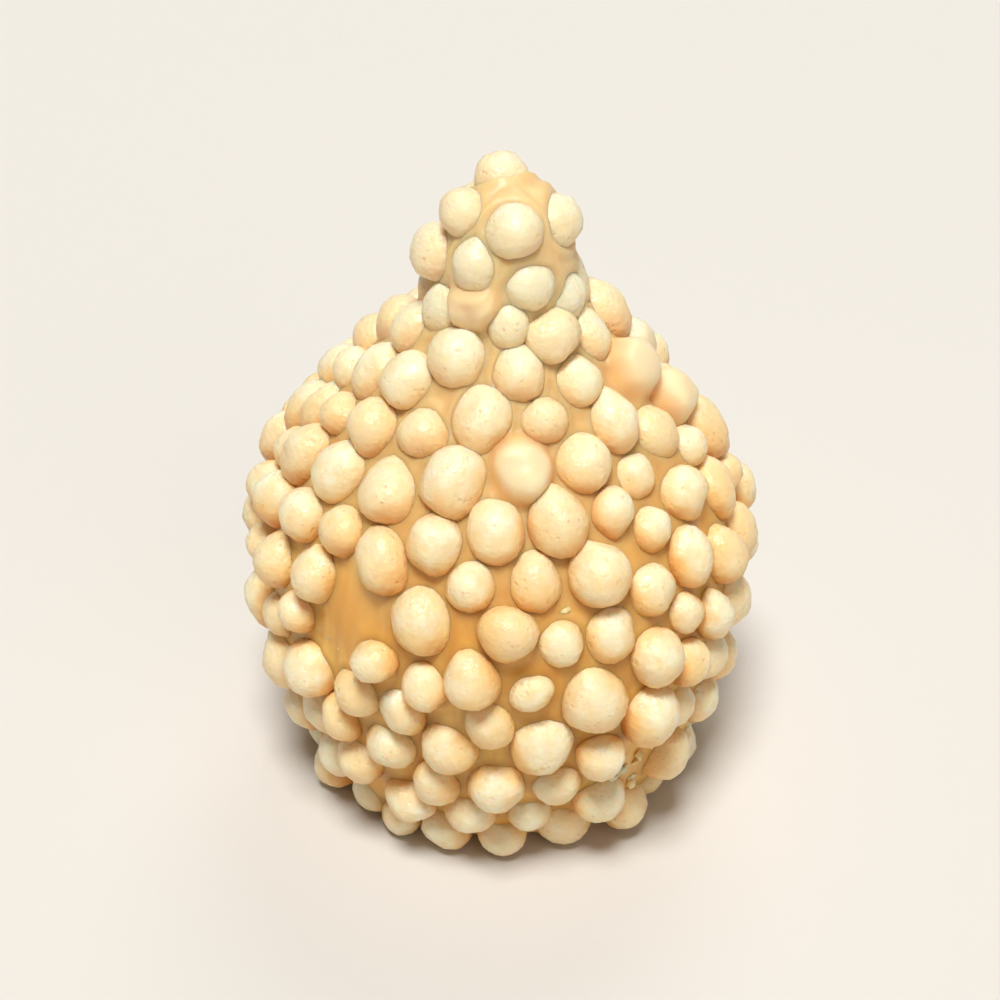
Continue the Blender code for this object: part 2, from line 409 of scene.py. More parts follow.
def outward(body, angle, height):
    """The direction straight out of the paste there, from two short steps along the surface."""
    along = surface(body, angle, min(height + STEP_UP, body["height"]))
    along = along - surface(body, angle, max(height - STEP_UP, 0))
    around = surface(body, angle + STEP_ROUND, height) - surface(body, angle - STEP_ROUND, height)
    return Vector(np.cross(around, along)).normalized()


# The pearls' layout


def bareness(body, angle, height):
    """The chance that a pearl is missing here."""
    share = 0 * angle
    for degrees, middle, half_width, half_height, bare in BARE_PATCHES:
        turn = (angle - math.radians(degrees) + np.pi) % math.tau - np.pi
        across = turn * dome_radius(body, height) / half_width
        share = np.where(across**2 + ((height - middle) / half_height) ** 2 < 1, bare, share)
    return share


def area_below(body):
    """Heights up the paste, and the share of its side that lies below each. The knob counts for
    more, because pearls crowd on it."""
    heights = np.linspace(0, body["height"], HEIGHTS)
    radii = dome_radius(body, heights)
    slant = np.hypot(np.diff(heights), np.diff(radii))
    slant = slant * np.where(heights[1:] > body["neck_height"], KNOB_CROWD, 1)
    area = np.concatenate(([0.0], np.cumsum(slant * (radii[1:] + radii[:-1]))))
    return heights, area / area[-1]


def settle(body, points):
    """The nearest places on the side as angles and heights, seen from the belly's middle."""
    heights = np.linspace(0, body["height"], HEIGHTS)
    middle = body["belly_height"]
    steepness = np.arctan2(dome_radius(body, heights), heights - middle)
    x, y, z = points.T
    lean = (z / body["height"]) ** 2
    x, y = x - body["lean_x"] * lean, y - body["lean_y"] * lean
    angle = np.arctan2(x, -y)
    radius = np.hypot(x, y) - pleat(body, angle, z) - lump(body, angle, z)
    height = np.interp(-np.arctan2(np.maximum(radius, 0), z - middle), -steepness, heights)
    return angle, np.maximum(height, LOWEST_ROW)


def spread_pearls(body, pearls, draw):
    """Each pearl's angle, height and radius: a spiral that gives all of them the same area, shaken
    and then pushed apart until hardly any overlap. Those on a bare patch are dropped."""
    count = pearls["count"]
    radius = pearls["radius"] * (1 + pearls["spread"] * draw.standard_normal(count))
    radius = np.clip(radius, pearls["smallest"], pearls["largest"])
    heights, shares = area_below(body)
    turn = np.arange(count) * GOLDEN_ANGLE
    rise = (np.arange(count) + 0.5) / count
    spots = surface(body, turn, np.interp(rise, shares, heights))
    angle, height = settle(body, spots + draw.normal(0, SHAKE, (count, 3)))
    crowded = body["neck_height"] - pearls["radius"]
    for _ in range(PUSHES):
        spots = surface(body, angle, height)
        apart = (spots[:, None] - spots[None]) * (1, 1, 1 / pearls["length"])
        distance = np.linalg.norm(apart, axis=2) + np.eye(count)
        room = radius * np.where(height > crowded, CLOSEST[1], CLOSEST[0])
        overlap = np.clip(room[:, None] + room[None] - distance, 0, None)
        push = (apart * (overlap / distance)[:, :, None]).sum(axis=1)
        angle, height = settle(body, spots + PUSH_STEP * push)
    kept = draw.uniform(0, 1, count) >= bareness(body, angle, height)
    return angle[kept], height[kept], radius[kept]


def sink_pearls(body, pearls):
    """The pearls in the paste, each as a matrix that places, turns and sizes a unit sphere."""
    draw = np.random.RandomState(pearls["seed"])
    matrices = []
    for angle, height, radius in zip(*spread_pearls(body, pearls, draw)):
        out = outward(body, angle, height)
        centre = Vector(surface(body, angle, height)) + out * radius * (1 - 2 * draw.uniform(*SUNK))
        length = pearls["length"] + draw.uniform(-LENGTH_RANGE, LENGTH_RANGE)
        centre.z = max(centre.z, length * radius + LOWEST_PEARL)
        lean = draw.uniform(-PEARL_TILT, PEARL_TILT)
        up = (Vector((0, 0, 1)) - out * out.z).normalized()
        along = up * math.cos(lean) + out.cross(up) * math.sin(lean)
        turn = Matrix((along, out.cross(along), out)).transposed().to_4x4()
        size = Matrix.Diagonal((length * radius, radius, radius, 1))
        matrices.append(Matrix.Translation(centre) @ turn @ size)
    return matrices


def centring(matrices):
    """How far the whole moves so that its middle, seen from above, is that of the frame's node."""
    low, high = np.full(3, np.inf), np.full(3, -np.inf)
    for matrix in matrices:
        reach = np.linalg.norm(np.array(matrix)[:3, :3], axis=1)
        centre = np.array(matrix.translation)
        low, high = np.minimum(low, centre - reach), np.maximum(high, centre + reach)
    node_low, node_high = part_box(NODE)
    middle = (np.array(node_low) + np.array(node_high) - low - high) / 2
    return Vector((middle[0], middle[1], 0))


def laid_out(scene):
    """The sizes of paste and pearls, the sunk pearls and how far the whole moves."""
    body, pearls = exact(scene.modak_body), exact(scene.modak_pearls)
    matrices = sink_pearls(body, pearls)
    return body, pearls, matrices, centring(matrices)


# Meshes


def mesh_object(name, points, faces):
    """An object that isn't in the scene yet, with smooth faces."""
    mesh = bpy.data.meshes.new(name)
    mesh.from_pydata([tuple(point) for point in points], [], [tuple(face) for face in faces])
    mesh.polygons.foreach_set("use_smooth", [True] * len(mesh.polygons))
    mesh.update()
    return bpy.data.objects.new(name, mesh)


def add_values(ob, **values):
    """Stores numbers, whole numbers or vectors on the object's points."""
    for name, value in values.items():
        value = np.array(value)
        kind, key = (VECTOR, "vector") if value.ndim == 2 else ("FLOAT", "value")
        kind = "INT" if value.dtype.kind == "i" else kind
        ob.data.attributes.new(name, kind, "POINT").data.foreach_set(key, value.ravel())


def profile_object(name, body):
    """The paste's profile, from the middle of its base to its tip, as loose points at even
    distances. Each has the way out of the plain dome there, and how strongly each kind of
    unevenness shows."""
    fine = np.linspace(0, body["height"], PROFILE_STEPS)
    radii = dome_radius(body, fine)
    walked = np.concatenate(([0], np.cumsum(np.hypot(np.diff(fine), np.diff(radii)))))
    marks = np.linspace(0, walked[-1], PASTE_RINGS)
    level = np.interp(marks, walked, np.gradient(fine, walked))
    steep = np.interp(marks, walked, -np.gradient(radii, walked))
    for _ in range(WAY_ROUNDS):
        for part in (level, steep):
            part[1:-1] += WAY_STEP * (part[2:] + part[:-2] - 2 * part[1:-1])
    way = np.stack([level, 0 * level, steep], axis=1) / np.hypot(level, steep)[:, None]
    inner = np.linspace(0, 1, BASE_RINGS, endpoint=False)
    height = np.concatenate([0 * inner, np.interp(marks, walked, fine)])
    radius = dome_radius(body, height)
    share = np.concatenate([inner, np.ones(PASTE_RINGS)])
    streak = np.clip(height / STREAK_START, 0, 1) * (radius / body["belly_radius"]) ** STREAK_SLIM
    top = np.clip((height / body["height"] - KNOB_FROM) / (KNOB_FULL - KNOB_FROM), 0, 1)
    ob = mesh_object(name, np.stack([share * radius, 0 * radius, height], axis=1), [])
    add_values(
        ob, way=np.concatenate([np.tile((0, 0, -1), (BASE_RINGS, 1)), way]),
        pleat=pleat_share(body, height), lump=share * lump_share(body, height), streak=streak,
        climb=np.clip(height / CLIMB_START, 0, 1) * (1 + KNOB_CLIMB * top))
    return ob


def sphere_grid():
    """Unit sphere points and faces, with its poles on the x axis."""
    around = np.arange(PEARL_SIDES) / PEARL_SIDES * math.tau
    rows = np.arange(1, PEARL_RINGS) / PEARL_RINGS * math.pi
    row, turn = np.meshgrid(rows, around, indexing="ij")
    side = np.stack([np.cos(row), np.sin(row) * np.cos(turn), np.sin(row) * np.sin(turn)], axis=-1)
    points = np.concatenate([side.reshape(-1, 3), [[1, 0, 0]], [[-1, 0, 0]]])
    step = np.arange(PEARL_SIDES)
    after = (step + 1) % PEARL_SIDES
    faces = []
    for ring in range(PEARL_RINGS - 2):
        near, far = ring * PEARL_SIDES, (ring + 1) * PEARL_SIDES
        corners = (near + step, far + step, far + after, near + after)
        faces.extend(np.stack(corners, axis=1).tolist())
    last = (PEARL_RINGS - 2) * PEARL_SIDES
    first_pole, last_pole = len(points) - 2, len(points) - 1
    faces.extend([first_pole, a, b] for a, b in zip(step.tolist(), after.tolist()))
    faces.extend([last + b, last + a, last_pole] for a, b in zip(step.tolist(), after.tolist()))
    return points, faces


def shaped(kind, points):
    """A unit sphere's points as one kind of pearl. Its long way is x, and z points outwards."""
    x, y, z = points.T.copy()
    if kind == "egg":
        y, z = y * (1 - EGG_TAPER * x), z * (1 - EGG_TAPER * x)
    elif kind == "drop":
        tip = np.clip(x, 0, 1) ** 2
        y, z = y * (1 - DROP_TAPER[0] * tip), z * (1 - DROP_TAPER[1] * tip)
        x = x * (1 + DROP_TIP * tip)
    elif kind == "barrel":
        x = BARREL_LENGTH * np.sign(x) * np.abs(x) ** BARREL_POWER
        width = BARREL_WIDTH[0] + BARREL_WIDTH[1] * (1 - x**2)
        y, z = y * width, z * width
    elif kind == "dented":
        hollow = np.exp(-(((points - HOLLOW_PLACE) ** 2).sum(axis=1)) / HOLLOW_SPREAD)
        x, y, z = (1 - HOLLOW_DEPTH * hollow) * np.array([x, y, z])
    elif kind == "knobbly":
        wave = np.sin(4 * x + 1) * np.sin(4 * y + 2) + np.sin(5 * z + 3 * x)
        x, y, z = (1 + KNOBBLE_DEPTH * wave) * np.array([x, y, z])
    return np.stack([x, y, z], axis=1)


def points_object(name, points, turns, sizes, kinds, tones):
    """Loose points that carry how each is turned and sized, its shape and how dark it is."""
    ob = mesh_object(name, points, [])
    add_values(ob, turn=turns, size=sizes, shape=kinds, tone=tones)
    return ob


def crumb_shape(name, draw):
    """A small angular bit, as the hull of a few random points."""
    shape = bmesh.new()
    for point in draw.normal(0, 1, (CRUMB_CORNERS, 3)):
        shape.verts.new(Vector(point).normalized() * draw.uniform(*CRUMB_REACH))
    bmesh.ops.convex_hull(shape, input=shape.verts)
    loose = [vert for vert in shape.verts if not vert.link_faces]
    bmesh.ops.delete(shape, geom=loose, context="VERTS")
    mesh = bpy.data.meshes.new(name)
    shape.to_mesh(mesh)
    shape.free()
    middle, upwards = CRUMB_PAINTED_LIGHT
    ob = bpy.data.objects.new(name, mesh)
    # Painted light: each crumb is lighter towards its top
    add_values(ob, shade=[middle + upwards * vertex.co.z for vertex in mesh.vertices])
    return ob


def remove_shapes(collection):
    """Removes a collection with its objects, once nothing needs them as shapes any more."""
    for shape in list(collection.objects):
        bpy.data.objects.remove(shape)
    bpy.data.collections.remove(collection)


# Node trees


class Nodes:
    """Short ways to add and link nodes in one tree."""

    def __init__(self, tree):
        self.tree = tree

    def fill(self, node, inputs):
        """Links or sets a node's inputs, given as (name or index, output or value) pairs."""
        for key, value in dict(inputs).items():
            if isinstance(value, bpy.types.NodeSocket):
                self.tree.links.new(value, node.inputs[key])
            else:
                node.inputs[key].default_value = value
        return node

    def add(self, kind, inputs=(), **settings):
        """A new node of that kind."""
        node = self.tree.nodes.new(kind)
        for key, value in settings.items():
            setattr(node, key, value)
        return self.fill(node, inputs)

    def math(self, operation, *values):
        """What the operation makes of the outputs or numbers."""
        return self.add("ShaderNodeMath", enumerate(values), operation=operation).outputs[0]

    def product(self, first, *others):
        """Everything multiplied together."""
        for other in others:
            first = self.math("MULTIPLY", first, other)
        return first

    def total(self, *terms):
        """The sum of outputs, numbers and (factor, output) pairs."""
        terms = [self.product(*term) if isinstance(term, tuple) else term for term in terms]
        first = terms[0]
        for term in terms[1:]:
            first = self.math("ADD", first, term)
        return first

    def wave(self, size, *terms):
        """A sine wave of that size over the sum of the terms."""
        return self.product(size, self.math("SINE", self.total(*terms)))

    def scaled(self, vector, factor):
        """The vector, that many times as long."""
        inputs = {0: vector, "Scale": factor}
        return self.add("ShaderNodeVectorMath", inputs, operation="SCALE").outputs[0]

    def moved(self, vector, *others):
        """The sum of vectors."""
        for other in others:
            inputs = {0: vector, 1: other}
            vector = self.add("ShaderNodeVectorMath", inputs, operation="ADD").outputs[0]
        return vector

    def parts(self, vector):
        """The X, Y and Z of a vector."""
        return self.add("ShaderNodeSeparateXYZ", {0: vector}).outputs

    def named(self, name, kind="FLOAT"):
        """A value that the points carry, for a shape."""
        node = self.add("GeometryNodeInputNamedAttribute", {"Name": name}, data_type=kind)
        return node.outputs[0]

    def seen(self, name):
        """A value that the points carry, for a finish."""
        return self.add("ShaderNodeAttribute", attribute_name=name).outputs["Fac"]

    def marked(self, geometry, name, value, kind="FLOAT"):
        """The geometry with that value stored on its points."""
        return self.add("GeometryNodeStoreNamedAttribute", {
            "Geometry": geometry, "Name": name, "Value": value}, data_type=kind).outputs[0]

    def blurred(self, value, rounds):
        """The value, evened out between neighbouring points."""
        inputs = {"Value": value, "Iterations": rounds}
        return self.add("GeometryNodeBlurAttribute", inputs).outputs[0]


def new_tree(name, inputs):
    """A modifier's tree with named inputs, given as (name, kind) pairs: its nodes and inputs."""
    tree = bpy.data.node_groups.new(name, "GeometryNodeTree")
    tree.is_modifier = True
    for label, kind in (("Geometry", "Geometry"), *inputs):
        tree.interface.new_socket(label, in_out="INPUT", socket_type="NodeSocket" + kind)
    tree.interface.new_socket("Geometry", in_out="OUTPUT", socket_type="NodeSocketGeometry")
    nodes = Nodes(tree)
    return nodes, nodes.add("NodeGroupInput").outputs


def run_tree(ob, tree, values):
    """Puts the object in the scene and makes it what the tree makes of it, as a plain mesh. The
    values are for the tree's inputs, by name."""
    bpy.context.scene.collection.objects.link(ob)
    modifier = ob.modifiers.new(tree.name, "NODES")
    modifier.node_group = tree
    for item in tree.interface.items_tree:
        if item.item_type == "SOCKET" and item.in_out == "INPUT" and item.name in values:
            modifier[item.identifier] = values[item.name]
    bpy.context.view_layer.update()
    graph = bpy.context.evaluated_depsgraph_get()
    mesh = bpy.data.meshes.new_from_object(ob.evaluated_get(graph), depsgraph=graph)
    ob.modifiers.remove(modifier)
    old, ob.data = ob.data, mesh
    bpy.data.meshes.remove(old)
    mesh.name = ob.name


def finished(nodes, given, geometry, offset):
    """Moves the points and ends the tree with a real, smooth mesh in its finish."""
    for kind, inputs in (
            ("GeometryNodeSetPosition", {"Offset": offset}),
            ("GeometryNodeSetShadeSmooth", {}),
            ("GeometryNodeRealizeInstances", {}),
            ("GeometryNodeSetMaterial", {"Material": given["Finish"]})):
        geometry = nodes.add(kind, {"Geometry": geometry, **inputs}).outputs[0]
    nodes.add("NodeGroupOutput", {0: geometry})
    return nodes.tree


def pearl_tree():
    """Sets a shape on each point, turned and sized by its attributes, and makes each one uneven."""
    nodes, given = new_tree(PEARL_TREE, [
        ("Shapes", "Collection"), ("Dents", "Float"), ("Dent scale", "Float"),
        ("Finish", "Material")])
    shapes = nodes.add("GeometryNodeCollectionInfo", {
        "Collection": given["Shapes"], "Separate Children": True, "Reset Children": True})
    turn = nodes.add("FunctionNodeEulerToRotation", {"Euler": nodes.named("turn", VECTOR)})
    placed = nodes.add("GeometryNodeInstanceOnPoints", {
        "Points": given["Geometry"], "Instance": shapes.outputs[0], "Pick Instance": True,
        "Instance Index": nodes.named("shape", "INT"), "Rotation": turn.outputs[0],
        "Scale": nodes.named("size", VECTOR)})
    real = nodes.add("GeometryNodeRealizeInstances", {"Geometry": placed.outputs[0]})
    dents = nodes.add("ShaderNodeTexNoise", {
        "W": nodes.named("tone"), "Scale": given["Dent scale"], "Detail": DENT_DETAIL,
        "Roughness": DENT_ROUGHNESS}, noise_dimensions="4D")
    depth = nodes.product(nodes.math("SUBTRACT", dents.outputs[0], 0.5), given["Dents"])
    normal = nodes.add("GeometryNodeInputNormal").outputs[0]
    return finished(nodes, given, real.outputs[0], nodes.scaled(normal, depth))


def turned_paste(nodes, given):
    """A grid of steps by rows, turned round the upright axis, pleated and uneven."""
    profile = given["Geometry"]
    counted = nodes.add("GeometryNodeAttributeDomainSize", {"Geometry": profile})
    rows = counted.outputs["Point Count"]
    grid = nodes.add("GeometryNodeMeshGrid", {
        "Size X": 1.0, "Size Y": 1.0, "Vertices X": nodes.total(given["Steps"], 1.0),
        "Vertices Y": rows})
    place = nodes.add("GeometryNodeInputPosition").outputs[0]
    across, up, _ = nodes.parts(place)
    angle = nodes.total((across, math.tau), math.pi)
    row = nodes.math("ROUND", nodes.product(nodes.total(up, 0.5), nodes.total(rows, -1.0)))

    def sampled(value, kind="FLOAT"):
        """The value in this row of the profile."""
        return nodes.add("GeometryNodeSampleIndex", {
            "Geometry": profile, "Value": value, "Index": row}, data_type=kind).outputs[0]

    def turned(radius, height):
        """A vector at that radius and height, in this step's direction."""
        return nodes.add("ShaderNodeCombineXYZ", {
            "X": nodes.product(radius, sine), "Y": nodes.product(radius, cosine, -1.0),
            "Z": height}).outputs[0]

    spot = nodes.parts(sampled(place, VECTOR))
    way = nodes.parts(sampled(nodes.named("way", VECTOR), VECTOR))
    rise = nodes.math("DIVIDE", spot["Z"], given["Height"])
    turn = nodes.product(rise, math.tau)
    wander = nodes.total(*[
        nodes.wave(size, (around, angle), start) for size, around, start in PLEAT_WAVES])
    rib = nodes.math("COSINE", nodes.product(nodes.total((given["Pleats"], angle), wander), 0.5))
    rib = nodes.total(nodes.math("ABSOLUTE", rib), -PLEAT_MEAN)
    lump = nodes.total(*[
        nodes.wave(size, (around, angle), (upwards, turn), start)
        for size, around, upwards, start in LUMP_WAVES])
    draw = np.random.RandomState(STREAK_SEED)
    streaks = []
    for number in STREAKS:
        bend = nodes.wave(
            draw.uniform(*STREAK_BEND), (draw.uniform(*STREAK_BEND_TURNS), turn),
            draw.uniform(*ANY_TURN))
        fade = nodes.wave(
            STREAK_FADE_SIZE, (STREAK_FADE_ROUND, angle), (draw.uniform(*STREAK_FADE_TURNS), turn),
            draw.uniform(*ANY_TURN))
        streak = nodes.wave(1.0, (float(number), angle), bend, draw.uniform(*ANY_TURN))
        streaks.append(nodes.product(nodes.total(fade, STREAK_FADE_MEAN), streak))
    radius = nodes.total(
        spot["X"], (given["Pleat depth"], sampled(nodes.named("pleat")), rib),
        (given["Lump depth"], sampled(nodes.named("lump")), lump),
        (given["Streak depth"], sampled(nodes.named("streak")), nodes.total(*streaks)))
    sine, cosine = nodes.math("SINE", angle), nodes.math("COSINE", angle)
    lean = nodes.scaled(given["Lean"], nodes.product(rise, rise))
    spot = nodes.moved(turned(radius, spot["Z"]), lean, given["Shift"])
    marked = nodes.marked(grid.outputs["Mesh"], "way", turned(way["X"], way["Z"]), VECTOR)
    marked = nodes.marked(marked, "climb", sampled(nodes.named("climb")))
    moved = nodes.add("GeometryNodeSetPosition", {"Geometry": marked, "Position": spot})
    return nodes.add("GeometryNodeMergeByDistance", {
        "Geometry": moved.outputs[0], "Distance": SEAM}).outputs[0]


def paste_tree():
    """Makes the paste from its profile, lets it climb up what is pressed into it and rise over what
    it covers, and marks where it does."""
    nodes, given = new_tree("Paste", [
        ("Height", "Float"), ("Steps", "Int"), ("Pleats", "Float"), ("Pleat depth", "Float"),
        ("Lump depth", "Float"), ("Streak depth", "Float"), ("Lean", "Vector"), ("Shift", "Vector"),
        ("Pearls", "Object"), ("Covered", "Object"), ("Climb", "Float"), ("Reach", "Float"),
        ("Film", "Float"), ("Finish", "Material")])
    paste = turned_paste(nodes, given)
    pearls = nodes.add("GeometryNodeObjectInfo", {"Object": given["Pearls"]})
    near = nodes.add("GeometryNodeProximity", {"Geometry": pearls.outputs["Geometry"]})
    more = nodes.named("climb")
    reach = nodes.math("MAXIMUM", nodes.product(given["Reach"], more), SHORTEST_REACH)
    away = nodes.product(near.outputs["Distance"], -1.0)
    touch = nodes.blurred(nodes.math("EXPONENT", nodes.math("DIVIDE", away, reach)), TOUCH_BLUR)
    way = nodes.named("way", VECTOR)
    covered = nodes.add("GeometryNodeObjectInfo", {"Object": given["Covered"]})
    here = nodes.add("GeometryNodeInputPosition").outputs[0]
    ray = nodes.add("GeometryNodeRaycast", {
        "Target Geometry": covered.outputs["Geometry"],
        "Source Position": nodes.moved(here, nodes.scaled(way, HIGHEST_PEARL)),
        "Ray Direction": nodes.scaled(way, -1.0), "Ray Length": HIGHEST_PEARL})
    rise = nodes.total(HIGHEST_PEARL, (ray.outputs["Hit Distance"], -1.0), given["Film"])
    rise = nodes.blurred(nodes.product(ray.outputs["Is Hit"], rise), FILM_BLUR)
    marked = nodes.marked(paste, "touch", touch)
    marked = nodes.marked(marked, "film", nodes.product(rise, 1 / HIGHEST_PEARL))
    offset = nodes.scaled(way, nodes.total((touch, given["Climb"], more), rise))
    return finished(nodes, given, marked, offset)


# Finishes


def new_material(name, preview):
    """A material, its nodes, its shader and the place on the object."""
    material = bpy.data.materials.new(name)
    material.use_nodes = True
    material.diffuse_color = (*preview, 1)
    nodes = Nodes(material.node_tree)
    shader = material.node_tree.nodes["Principled BSDF"]
    place = nodes.add("ShaderNodeTexCoord").outputs["Object"]
    return material, nodes, shader, place


def blend(nodes, share, first, second):
    """A colour mix. The colours are outputs or plain colours."""
    first, second = (c if isinstance(c, bpy.types.NodeSocket) else (*c, 1) for c in (first, second))
    return nodes.add("ShaderNodeMix", {0: share, 6: first, 7: second}, data_type="RGBA").outputs[2]


def between(nodes, value, low, high, to_low=0.0, to_high=1.0):
    """The value's way from low to high, as a number from to_low to to_high."""
    return nodes.add("ShaderNodeMapRange", {
        "Value": value, 1: low, 2: high, 3: to_low, 4: to_high}).outputs[0]


def noise(nodes, place, scale, detail, stretch=None):
    """Soft noise, with that many waves to a metre before it is stretched along an axis."""
    if stretch:
        place = nodes.add("ShaderNodeMapping", {"Vector": place, "Scale": stretch}).outputs[0]
    return nodes.add("ShaderNodeTexNoise", {
        "Vector": place, "Scale": scale, "Detail": detail}).outputs["Fac"]


def bumped(nodes, height, strength, distance):
    """Fine relief, for a shader's normal."""
    return nodes.add("ShaderNodeBump", {
        "Strength": strength, "Distance": distance, "Height": height}).outputs[0]


def paste_material(colors):
    """Cloudy, streaked paste, with painted shade where it meets a pearl, painted light that makes
    it paler near the knob, and paler in a film.
    """
    material, nodes, shader, place = new_material("cashew_paste", colors.paste_light)
    cloud = between(nodes, noise(nodes, place, 190, 3), 0.36, 0.66)
    streak = between(nodes, noise(nodes, place, 620, 3, (1, 1, 0.12)), 0.42, 0.66)
    color = blend(nodes, nodes.product(cloud, 0.8), colors.paste_light, colors.paste_deep)
    color = blend(nodes, nodes.product(streak, 0.8), color, colors.paste_deep)
    # Painted shade: darker where the paste meets a pearl
    painted_gap_shade = between(nodes, nodes.seen("touch"), 0.35, 1.0, 0.0, 0.85)
    color = blend(nodes, painted_gap_shade, color, colors.paste_gap_shade)
    # Painted light: paler towards the knob
    knob_painted_light = between(nodes, nodes.parts(place)["Z"], *PASTE_PAINTED_LIGHT, 0.0, 0.72)
    color = blend(nodes, knob_painted_light, color, colors.film)
    covered = between(nodes, nodes.seen("film"), 0.08, 0.6, 0.0, 0.9)
    color = blend(nodes, nodes.product(covered, 0.7), color, colors.pearl_light)
    grain = nodes.total(noise(nodes, place, 3200, 3), (noise(nodes, place, 1000, 4), covered, 4.0))
    rough = between(nodes, noise(nodes, place, 420, 2), 0.3, 0.7, 0.34, 0.5)
    nodes.fill(shader, {
        "Base Color": color, "Roughness": rough, "Normal": bumped(nodes, grain, 0.35, 0.06 * MM),
        "Subsurface Weight": 0.8, "Subsurface Radius": (1.0, 0.55, 0.25),
        "Subsurface Scale": 1.5 * MM, "IOR": 1.46})
    return material


def pearl_material(colors):
    """Toasted pearls, each in its own tone, painted lighter at its upper end and outside as painted
    light, with clouds, a foot stained by the paste and darkened as painted shade, painted light
    near the knob, pits and fine relief.
    """
    material, nodes, shader, place = new_material("pearls", colors.pearl_light)
    # Painted light on each pearl: from light at its upper end and outside to dark below, with a
    # little noise
    wander = between(nodes, noise(nodes, place, 500, 2), 0.3, 0.7, -0.22, 0.22)
    shade = nodes.total(nodes.seen("shade"), wander)
    color = blend(nodes, between(nodes, shade, 0.74, 0.16), colors.pearl_light, colors.pearl_dark)
    tone = between(nodes, nodes.seen("tone"), 0.4, 1.0, 0.0, 0.6)
    color = blend(nodes, tone, color, colors.pearl_dark)
    cloud = between(nodes, noise(nodes, place, 1100, 3), 0.45, 0.75, 0.0, 0.5)
    color = blend(nodes, cloud, color, colors.pearl_dark)
    # Partly a stain by the paste and partly painted shade: darker at each pearl's lower, inner side
    foot_stain_and_shade = between(nodes, shade, 0.25, -0.35, 0.0, 0.95)
    color = blend(nodes, foot_stain_and_shade, color, colors.pearl_foot_stain_and_shade)
    # Painted light: paler towards the knob
    knob_painted_light = between(nodes, nodes.parts(place)["Z"], *PEARLS_PAINTED_LIGHT, 0.0, 0.5)
    color = blend(nodes, knob_painted_light, color, colors.pearl_light)
    cells = nodes.add("ShaderNodeTexVoronoi", {"Vector": place, "Scale": 2100.0})
    rare = between(nodes, noise(nodes, place, 800, 1), 0.52, 0.62)
    pit = nodes.product(between(nodes, cells.outputs["Distance"], 0.0, 0.30, 1.0, 0.0), rare)
    color = blend(nodes, nodes.product(pit, 0.2), color, colors.pearl_foot_stain_and_shade)
    rough = between(nodes, noise(nodes, place, 1300, 2), 0.3, 0.7, 0.28, 0.46)
    relief = nodes.total(noise(nodes, place, 1000, 4), noise(nodes, place, 3000, 2))
    relief = nodes.math("SUBTRACT", relief, nodes.product(pit, 0.8))
    nodes.fill(shader, {
        "Base Color": color, "Roughness": rough, "Normal": bumped(nodes, relief, 1.0, 0.095 * MM),
        "Subsurface Weight": 0.7, "Subsurface Radius": (1.0, 0.6, 0.25),
        "Subsurface Scale": 0.9 * MM, "IOR": 1.5})
    return material


# Operators


class MODAK_OT_pearls(bpy.types.Operator):
    """Spread the pearls over the paste, each with a shape, size and tone of its own."""

    bl_idname = "modak.pearls"
    bl_label = "Make Pearls"

    def execute(self, context):
        scene = context.scene
        body, pearls, matrices, shift = laid_out(scene)
        places = [Matrix.Translation(shift) @ matrix for matrix in matrices]
        draw = np.random.RandomState(pearls["seed"] + LOOKS_SEED)
        turns, sizes = [], []
        for place in places:
            _, turn, size = place.decompose()
            turns.append(turn.to_euler())
            sizes.append(size)
        kinds = 2 * draw.choice(len(SHAPES), len(places), p=SHAPE_SHARES)
        kinds = kinds + (draw.uniform(0, 1, len(places)) < UPSIDE_DOWN)
        tones = draw.uniform(0, 1, len(places))
        points = np.array([place.translation for place in places])
        height = points[:, 2]
        marks = (body["belly_height"], body["neck_height"], body["height"])
        chance = np.interp(height, marks, COVERED)
        covered = (draw.uniform(0, 1, len(places)) < chance) & (height > LOWEST_COVERED)
        shapes = bpy.data.collections.new("pearl_shapes")
        ball, faces = sphere_grid()
        for number in range(2 * len(SHAPES)):
            over = (-1, -1, 1) if number % 2 else (1, 1, 1)
            form = shaped(SHAPES[number // 2], ball * over) * over
            shape = mesh_object(f"shape_{number:02d}", form, faces)
            # Painted light: each shape is lighter towards its upper end and its outside
            add_values(shape, shade=ball @ PAINTED_LIGHT_WAY)
            shapes.objects.link(shape)
        tree = pearl_tree()
        finish = pearl_material(scene.modak_colors)
        for name, chosen in (("pearls", ~covered), (COVERED_NAME, covered)):
            ob = points_object(name, *(
                np.array(values)[chosen] for values in (points, turns, sizes, kinds, tones)))
            run_tree(ob, tree, {
                "Shapes": shapes, "Dents": pearls["dent"] * 2, "Dent scale": DENT_SCALE,
                "Finish": finish})
        remove_shapes(shapes)
        ob = bpy.data.objects["pearls"]
        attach(ob, BODY)
        return {"FINISHED"}


